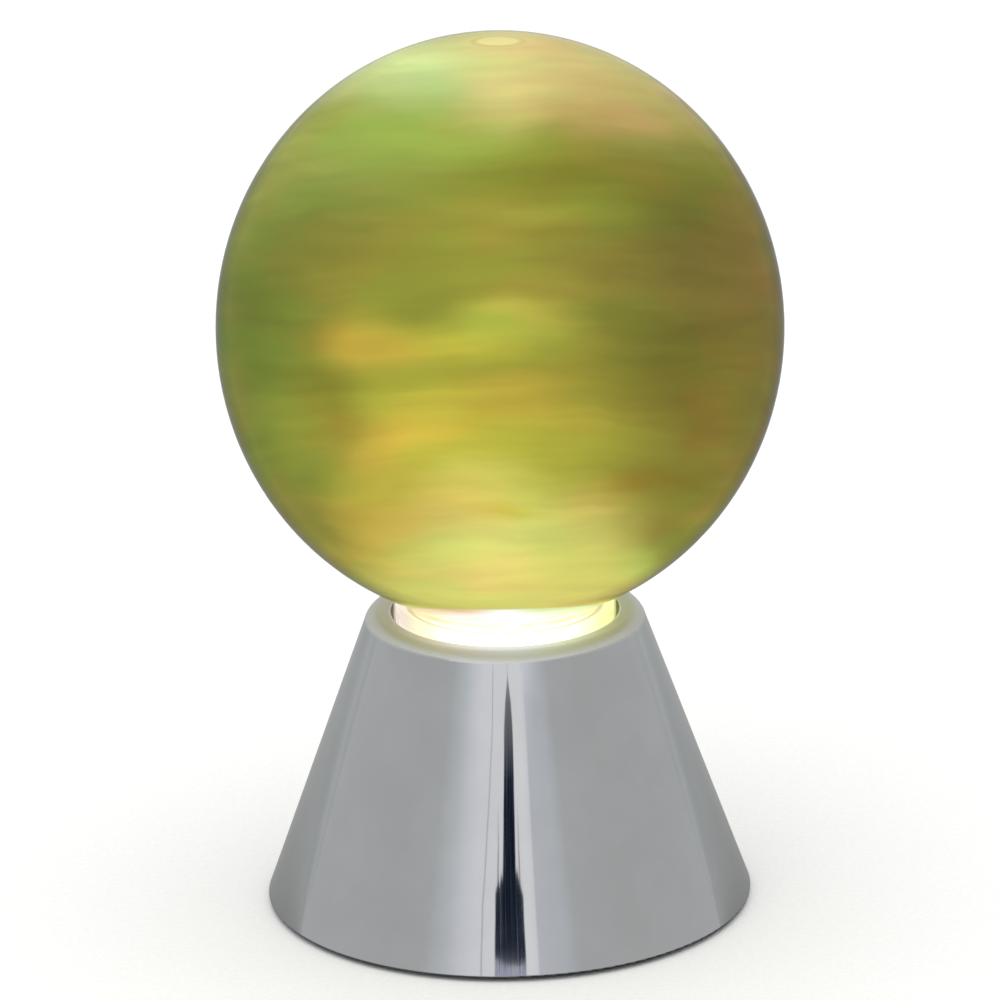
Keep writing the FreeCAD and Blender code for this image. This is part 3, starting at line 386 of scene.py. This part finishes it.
def make_glass():
    # Blown clear glass with a smooth fire-polished skin, anti-reflex coated: hardly any highlight, and a
    # thin dark edge where the eye looks along the wall, fainter at the crown.
    made, tree, shader = material("clear_blown_glass")
    place, (x, y, z) = whereabouts(tree)
    give_relief(tree, shader, noise(tree, place, 30.0, 1.0), 0.05, 0.5 * MM)
    facing = add(tree, "ShaderNodeLayerWeight", {0: 0.5}).outputs["Facing"]
    above = spread(tree, above_flood(tree, y, z), 0.0, 1 * MM)
    crown = spread(tree, z, GLOBE_CENTRE + 42 * MM, GLOBE_CENTRE + 70 * MM, 1.0, 0.3)
    edge_on = calc(tree, "MULTIPLY", spread(tree, facing, 0.7, 0.92), calc(tree, "MULTIPLY", above, crown))
    feed(tree, shader, {"Base Color": blend(tree, edge_on, "#FBFDF6", "#4A4C30"),
                        "Roughness": 0.02,
                        "IOR": 1.06,
                        "Transmission Weight": 1.0,
                        "Specular IOR Level": 0.1})
    # the liquid wets the inside of the wall, so light goes straight on there
    inwards = vector(tree, "SUBTRACT", place, (0, 0, GLOBE_CENTRE))
    shares = (1 / GLOBE_RADIUS, 1 / GLOBE_RADIUS, 1 / GLOBE_HALF_HEIGHT)
    inwards = length(tree, vector(tree, "MULTIPLY", inwards, shares))
    wetted = calc(tree, "LESS_THAN", inwards, 1 - SKIN_DEPTH / GLOBE_RADIUS)
    clear = add(tree, "ShaderNodeBsdfTransparent")
    skin = add(tree, "ShaderNodeMixShader", {0: wetted, 1: shader.outputs[0], 2: clear.outputs[0]})
    feed(tree, tree.nodes["Material Output"], {"Surface": skin.outputs[0]})
    dress(["glass_globe"], made)


LIQUID_GROUND = "#96913C"
# Soft clouds in the liquid: place across and up the front as shares of the globe's radius, half width,
# half height, colour and strength. Later ones lie over earlier ones. Most are the swirled pigment; the pale
# clouds at the crown are a painted highlight of the top light, and those at the foot painted light of the
# lamps.
CLOUDS = [
    ("moss field, left limb", -0.94, 0.08, 0.46, 0.80, "#6C7A36", 0.90),
    ("umber olive, right", 0.72, 0.16, 0.52, 0.56, "#6C6531", 0.95),
    ("brown, right limb", 0.98, -0.10, 0.16, 0.70, "#705C32", 0.75),
    ("dark olive, lower right", 0.68, -0.36, 0.40, 0.34, "#7C6C30", 0.85),
    ("golden field, lower left", -0.16, -0.42, 0.52, 0.34, "#C6B545", 0.85),
    ("leaf green, upper left", -0.62, 0.56, 0.44, 0.28, "#88954A", 0.85),
    ("yellow green, upper left", -0.30, 0.68, 0.50, 0.17, "#A6B657", 0.85),
    # painted highlight: these three pale clouds at the crown stand for the soft top light
    ("pastel green, crown left", -0.26, 0.88, 0.34, 0.15, "#CEE49A", 0.95),
    ("straw, crown", 0.04, 0.88, 0.20, 0.22, "#E6E092", 0.85),
    ("peach, crown right", 0.30, 0.86, 0.34, 0.18, "#D6BE80", 0.90),
    ("tan, upper right", 0.52, 0.72, 0.30, 0.16, "#B6A066", 0.80),
    ("olive, upper middle", 0.26, 0.44, 0.36, 0.16, "#85802F", 0.60),
    ("green veil, upper middle", 0.12, 0.34, 0.34, 0.05, "#98A042", 0.55),
    ("brown olive, left", -0.60, -0.22, 0.12, 0.24, "#82782F", 0.70),
    ("amber, left", -0.50, -0.06, 0.15, 0.09, "#C0A844", 0.90),
    ("amber, centre left", -0.20, -0.09, 0.24, 0.06, "#D2BE4A", 0.85),
    ("lime, centre", 0.02, -0.02, 0.22, 0.07, "#BDBE50", 0.70),
    ("amber, lower left", -0.30, -0.37, 0.15, 0.09, "#D4BA4A", 0.85),
    ("moss, foot left", -0.66, -0.62, 0.20, 0.20, "#858B3D", 0.80),
    ("gold, foot left", -0.44, -0.56, 0.18, 0.12, "#CDB44C", 0.80),
    ("ochre, foot left", -0.40, -0.74, 0.18, 0.12, "#BEA840", 0.70),
    # painted light: these four pale clouds at the foot stand for the lamps' light pooling there
    ("straw, under the foot", 0.0, -0.95, 0.60, 0.14, "#DCCB70", 0.95),
    ("pale straw, foot", 0.02, -0.78, 0.42, 0.20, "#E6DC7E", 0.95),
    ("pale straw, lower middle", -0.08, -0.56, 0.20, 0.09, "#E2D06A", 0.85),
    ("lime, foot right", 0.28, -0.84, 0.22, 0.12, "#D0D870", 0.85),
    ("gold oval, foot", 0.02, -0.65, 0.12, 0.025, "#CDBD4C", 0.75),
    ("brown smear, lower right", 0.52, -0.55, 0.16, 0.045, "#86702C", 0.80),
]
# A cloud's reach as a multiple of its half size, and its fading with depth.
CLOUD_REACH = 1.6
CLOUD_DEPTH = 0.9
# Noise scale, detail and push of the swirls that move the clouds about: slow and large, quick and small.
SWIRLS = [(1.7, 2.0, (0.2, 0.14, 0.1)), (5.5, 3.0, (0.07, 0.05, 0.03))]
# Stretch, lean in degrees and strength of the veils, from broad to fine.
VEILS = [((1.0, 1.0, 3.6), 8, 0.12), ((1.6, 1.6, 13.0), 5, 0.08), ((3.5, 3.5, 34.0), 3, 0.03)]
GREENER = (0.93, 1.04, 0.96, 1)
WARMER = (1.07, 0.97, 1.0, 1)
# Air bubble under the crown, a little to the rear: its middle and how much wider than deep it is.
BUBBLE_X = 0.8 * MM
BUBBLE_Y = 4.0 * MM
BUBBLE_WIDTH_OVER_DEPTH = 1.3
# Share of black in the base colour: the liquid shines of itself, and lamps add little.
LIQUID_BLACK_SHARE = 0.92


def facing_front(tree, place):
    """Place in the liquid as seen from the camera, in shares of its radius: across, away and up."""
    shares = Vector((1 / LIQUID_RADIUS, 1 / LIQUID_RADIUS, 1 / LIQUID_HALF_HEIGHT))
    centre = Vector((0, 0, GLOBE_CENTRE * shares.z))
    turned_centre = Matrix.Rotation(CAMERA_PITCH, 3, "X") @ centre
    links = {"Vector": place, "Location": -turned_centre, "Rotation": (CAMERA_PITCH, 0, 0), "Scale": shares}
    return add(tree, "ShaderNodeMapping", links).outputs[0]


def swirled(tree, front):
    """Place after the swirls have pushed it about."""
    moved = front
    for scale, detail, amount in SWIRLS:
        swirl = add(tree, "ShaderNodeTexNoise", {"Vector": front, "Scale": scale, "Detail": detail})
        push = vector(tree, "SUBTRACT", swirl.outputs["Color"], (0.5, 0.5, 0.5))
        moved = vector(tree, "ADD", moved, vector(tree, "MULTIPLY", push, amount))
    return moved


def clouds(tree, moved):
    """Colour of the soft clouds on the front of the globe, with painted light at the crown and foot, and of
    the ground between them.
    """
    colour = linear(LIQUID_GROUND)
    for label, across, up, wide, high, code, strength in CLOUDS:
        depth = -math.sqrt(max(0.0, 1 - across ** 2 - up ** 2))
        away = vector(tree, "SUBTRACT", moved, (across, depth, up))
        away = length(tree, vector(tree, "MULTIPLY", away, (1 / wide, CLOUD_DEPTH, 1 / high)))
        share = spread(tree, away, CLOUD_REACH, 0.0, 0.0, strength, label=label,
                       interpolation_type="SMOOTHSTEP")
        colour = blend(tree, share, colour, code)
    return colour


def veiled(tree, moved, colour):
    """Colour under long soft smears, lighter and darker, greener and warmer."""
    for stretch, lean, amount in VEILS:
        links = {"Vector": moved, "Rotation": (0, math.radians(lean), 0), "Scale": stretch}
        veil = add(tree, "ShaderNodeMapping", links).outputs[0]
        veil = noise(tree, veil, 1.0, 2.0, Roughness=0.45, Distortion=0.25)
        level = spread(tree, veil, 0.3, 0.7, 1 - amount, 1 + amount)
        colour = blend(tree, 1.0, colour, level, "MULTIPLY")
    tinge = add(tree, "ShaderNodeMapping", {"Vector": moved, "Scale": (2.0, 2.0, 5.0)}).outputs[0]
    tinge = ramp(tree, noise(tree, tinge, 1.0, 1.0), [(0.35, GREENER), (0.65, WARMER)])
    return blend(tree, 1.0, colour, tinge, "MULTIPLY")


def flooded_foot(tree, parts, colour):
    """Next to the lamps, under the globe, the liquid is flooded with their light."""
    x, y, z = parts
    over = above_flood(tree, y, z)
    flooded = spread(tree, over, 0.3 * MM, -0.3 * MM)
    near_edge = spread(tree, over, -2.4 * MM, -0.6 * MM)
    fringe = ramp(tree, across_seat(tree, x), FRINGE_TINTS)
    seat = blend(tree, near_edge, seat_light(tree, parts), fringe)
    return blend(tree, flooded, colour, seat)


def bubble(tree, parts, colour):
    """Pale oval with a darker rim at the crown, and nowhere below the globe's middle."""
    x, y, z = parts
    deep = calc(tree, "MULTIPLY", calc(tree, "SUBTRACT", y, BUBBLE_Y), BUBBLE_WIDTH_OVER_DEPTH)
    off_axis = hypotenuse(tree, calc(tree, "SUBTRACT", x, BUBBLE_X), deep)
    off_axis = calc(tree, "ADD", off_axis, calc(tree, "LESS_THAN", z, GLOBE_CENTRE))
    colour = blend(tree, spread(tree, off_axis, 7.6 * MM, 6.9 * MM, 0.0, 0.45), colour, "#C6B472")
    return blend(tree, spread(tree, off_axis, 6.3 * MM, 4.6 * MM, 0.0, 0.75), colour, "#ECE49A")


def make_liquid():
    # Water and mica pearl pigment, lit through from below: it glows in drifting horizontal veils.
    made, tree, shader = material("pearlescent_liquid_lit_from_below")
    place, parts = whereabouts(tree)
    moved = swirled(tree, facing_front(tree, place))
    colour = veiled(tree, moved, clouds(tree, moved))
    colour = bubble(tree, parts, flooded_foot(tree, parts, colour))
    feed(tree, shader, {"Emission Color": colour,
                        "Emission Strength": 1.0,
                        "Base Color": blend(tree, LIQUID_BLACK_SHARE, colour, BLACK),
                        "Roughness": 0.6,
                        "Specular IOR Level": 0.0})
    dress(["pearl_liquid"], made)


def make_stopper():
    # Milky moulded rubber: soft sheen, hardly any grain.
    dress(["globe_stopper"], surface("translucent_moulded_rubber", "#D8D2C2", 0.5))


# ---------------------------------------------------------------- turntable

# Turned rings: how quickly their noise changes outwards, upwards and across.
RINGS = (900.0, 700.0, 30.0)
# The glow is strongest within the first distance from the middle, and weakest from the second on.
GLOW_MIDDLE = 12 * MM
GLOW_SIDE = 26 * MM
# Share of black in the base colour of the turntable and the gasket, which shine of themselves too.
SEAT_BLACK_SHARE = 0.9


def make_turntable():
    # Clear moulded acrylic flooded with light by the lamps under it: white in the middle, rosy at the
    # left and lemon at the right, where the coloured lamps part, with faint turned rings.
    made, tree, shader = material("clear_acrylic_lit_from_below")
    parts = whereabouts(tree)[1]
    x, y, z = parts
    radius = hypotenuse(tree, x, y)
    around = [calc(tree, "MULTIPLY", part, pace) for part, pace in zip((radius, z, x), RINGS)]
    rings = add(tree, "ShaderNodeCombineXYZ", dict(enumerate(around))).outputs[0]
    level = spread(tree, noise(tree, rings, 1.0, 2.0), 0.3, 0.7, 0.9, 1.06)
    tint = blend(tree, 1.0, seat_light(tree, parts), level, "MULTIPLY")
    # the bowl's floor is brightest over the lamps, and the rim is brightest in the middle
    inside = spread(tree, radius, bowl_high.x - 3.0 * MM, GLOW_MIDDLE, 0.9, 1.6)
    outside = spread(tree, calc(tree, "ABSOLUTE", x), GLOW_MIDDLE, GLOW_SIDE, 1.8, 1.0)
    feed(tree, shader, {"Emission Color": tint,
                        "Emission Strength": calc(tree, "MAXIMUM", inside, outside),
                        "Base Color": blend(tree, SEAT_BLACK_SHARE, tint, BLACK),
                        "Roughness": 0.08,
                        "IOR": 1.49})
    dress(["turntable"], made)


def make_gasket():
    # Soft clear silicone, slightly milky, that glows like the rim.
    made, tree, shader = material("soft_clear_silicone_lit")
    place, parts = whereabouts(tree)
    cloud = ramp(tree, noise(tree, place, 160.0, 2.0), [(0.3, "#FBF6DC"), (0.7, WHITE)])
    tint = blend(tree, 1.0, seat_light(tree, parts), cloud, "MULTIPLY")
    feed(tree, shader, {"Emission Color": tint,
                        "Base Color": blend(tree, SEAT_BLACK_SHARE, tint, BLACK),
                        "Emission Strength": 1.0,
                        "Roughness": 0.35,
                        "IOR": 1.41})
    dress(["seat_gasket"], made)


# ---------------------------------------------------------------- base

# The mouth's wall is matt and unplated within this radius and below this height, and higher at the two
# sides, where it is near-black as a painted shade of the dark gap.
MOUTH_RADIUS = bowl_high.x + 1.9 * MM
MOUTH_SIDE = bowl_high.x + 0.6 * MM
MOUTH_HEIGHT = shell_high.z - 2.2 * MM
MOUTH_SIDE_RISE = 1.85 * MM
DULL_ROUGHNESS = 0.4


def make_chrome():
    # Bright chrome on a smooth casting: a mirror with a faint long-wave ripple and fine wiping haze. The
    # rolled lip is satin, a paler band that hardly mirrors the globe. The mouth's wall is matt and
    # unplated, pale at the front and back and near-black at its two sides as a painted shade of the dark
    # gap. A thin dull dark line round the foot is a painted shade of the gap under its edge.
    made, tree, shader = material("bright_chrome_plating")
    place, (x, y, z) = whereabouts(tree)
    dark_gap_shade_sides = calc(tree, "GREATER_THAN", calc(tree, "ABSOLUTE", x), MOUTH_SIDE)
    limit = calc(tree, "MULTIPLY_ADD", dark_gap_shade_sides, MOUTH_SIDE_RISE, MOUTH_HEIGHT)
    unplated_mouth_wall = calc(tree, "LESS_THAN", hypotenuse(tree, x, y), MOUTH_RADIUS)
    unplated_mouth_wall = calc(tree, "MULTIPLY", unplated_mouth_wall, calc(tree, "LESS_THAN", z, limit))
    open_air = calc(tree, "SUBTRACT", 1.0, unplated_mouth_wall)
    lip = spread(tree, z, shell_high.z - 2.7 * MM, shell_high.z - 1.7 * MM)
    foot = spread(tree, z, shell_low.z + 0.8 * MM, shell_low.z + 0.4 * MM)

    haze = noise(tree, place, 55.0, 5.0, Roughness=0.6)
    tone = ramp(tree, haze, [(0.35, "#C6C7C9"), (0.65, "#CACBCD")])
    # painted shade: the mouth's wall is near-black at the two sides for the dark gap, and matt pale at the
    # front and back
    tone = blend(tree, unplated_mouth_wall, tone, blend(tree, dark_gap_shade_sides, "#D8D4C8", "#131211"))
    tone = blend(tree, calc(tree, "MULTIPLY", lip, open_air), tone, "#CACCC9")
    # painted shade: a thin dark line round the foot for the gap under its edge
    tone = blend(tree, foot, tone, "#6E6F6E")
    dull = calc(tree, "MAXIMUM", calc(tree, "MAXIMUM", unplated_mouth_wall, lip), foot)
    dull = calc(tree, "MULTIPLY", dull, DULL_ROUGHNESS)
    plated = calc(tree, "MULTIPLY_ADD", lip, -0.7, 1.0)
    feed(tree, shader, {"Base Color": tone,
                        "Roughness": calc(tree, "ADD", spread(tree, haze, 0.3, 0.7, 0.012, 0.03), dull),
                        "Metallic": calc(tree, "MULTIPLY", plated, open_air)})
    ripple = add(tree, "ShaderNodeMapping", {"Vector": place, "Scale": (60.0, 60.0, 9.0)}).outputs[0]
    give_relief(tree, shader, noise(tree, ripple, 1.0, 2.0), 0.03, 0.4 * MM)
    dress(["cone_shell"], made)


# ---------------------------------------------------------------- inner pieces

LAMP_COLOURS = [("red", "#E0402A"), ("green", "#3CC85A"), ("blue", "#3A5AE0"), ("amber", "#F0A030")]
LAMP_GLOW = 4.0


def make_metal_pieces():
    # Turned steel: bright, with fine tool grain that softens its highlights.
    steel = surface("bright_turned_steel", "#C2C2C0", 0.25, metallic=1.0, grain_mm=0.8, bump=0.05)
    dress(numbered("cover_screw", 4) + numbered("deck_screw", 3) + numbered("motor_screw", 2), steel)
    dress(numbered("bearing_ball", 8) + ["motor_shaft", "wheel_clip", "jack_nut", "switch_nut"], steel)
    # Metallised plastic: nearly a mirror, as smooth as its mould.
    dress(["reflector_cup"], surface("metallised_reflector", "#DAD9D4", 0.12, metallic=1.0, bump=0.03))
    # Zinc plating: a dull warm grey metal with a soft crystal grain.
    dress(["gear_motor"], surface("zinc_plated_motor_can", "#BDBBB2", 0.32, metallic=1.0, grain_mm=2.0))


def make_plastic_pieces():
    # Black moulding: fine spark-eroded texture and a low sheen.
    black = surface("black_moulded_abs", "#1C1C1E", 0.45, grain_mm=0.6, bump=0.25)
    dress(["bottom_cover", "power_jack", "switch_body"], black)
    # White moulding: smooth, slightly warm and silky.
    dress(["bearing_deck", "lamp_post"], surface("white_moulded_abs", "#DCDBD4", 0.4, grain_mm=1.0))
    # Natural acetal: waxy off-white with a soft shine.
    acetal = surface("natural_acetal", "#EAE7DC", 0.38, grain_mm=1.2)
    dress(["drive_wheel", "drive_pinion", "ball_cage"], acetal)
    # Foot rubber: matt black with a pressed grain.
    dress(numbered("rubber_foot", 4), surface("black_foot_rubber", "#262626", 0.75, grain_mm=0.5, bump=0.4))
    # The button: satin black, smoother than the cover.
    dress(["switch_button"], surface("satin_black_button_abs", "#242427", 0.35, grain_mm=0.5, bump=0.2))


def make_electric_pieces():
    # Solder mask: glossy dark green lacquer over fine glass weave.
    boards = surface("green_solder_mask_board", "#1F5A34", 0.35, grain_mm=0.8)
    dress(["lamp_board", "driver_board"], boards)
    # Shrunk sleeve: smooth dark blue with a clear shine.
    dress(["driver_capacitor"], surface("capacitor_sleeve_pvc", "#20263A", 0.3))
    # Terminal nylon: mid green and rather matt.
    dress(["terminal_block"], surface("green_terminal_nylon", "#2F7A45", 0.45))
    # Lamp epoxy: shiny tinted domes that glow in their own colour.
    for name, code in LAMP_COLOURS:
        made = surface("%s_lamp_epoxy" % name, code, 0.15)
        shader = made.node_tree.nodes["Principled BSDF"]
        shader.inputs["Emission Color"].default_value = linear(code)
        shader.inputs["Emission Strength"].default_value = LAMP_GLOW
        dress(["lamp_" + name], made)


bpy.context.scene.view_settings.view_transform = "Standard"
make_camera()
make_floor()
make_world()
make_lights()
make_glass()
make_liquid()
make_stopper()
make_turntable()
make_gasket()
make_chrome()
make_metal_pieces()
make_plastic_pieces()
make_electric_pieces()
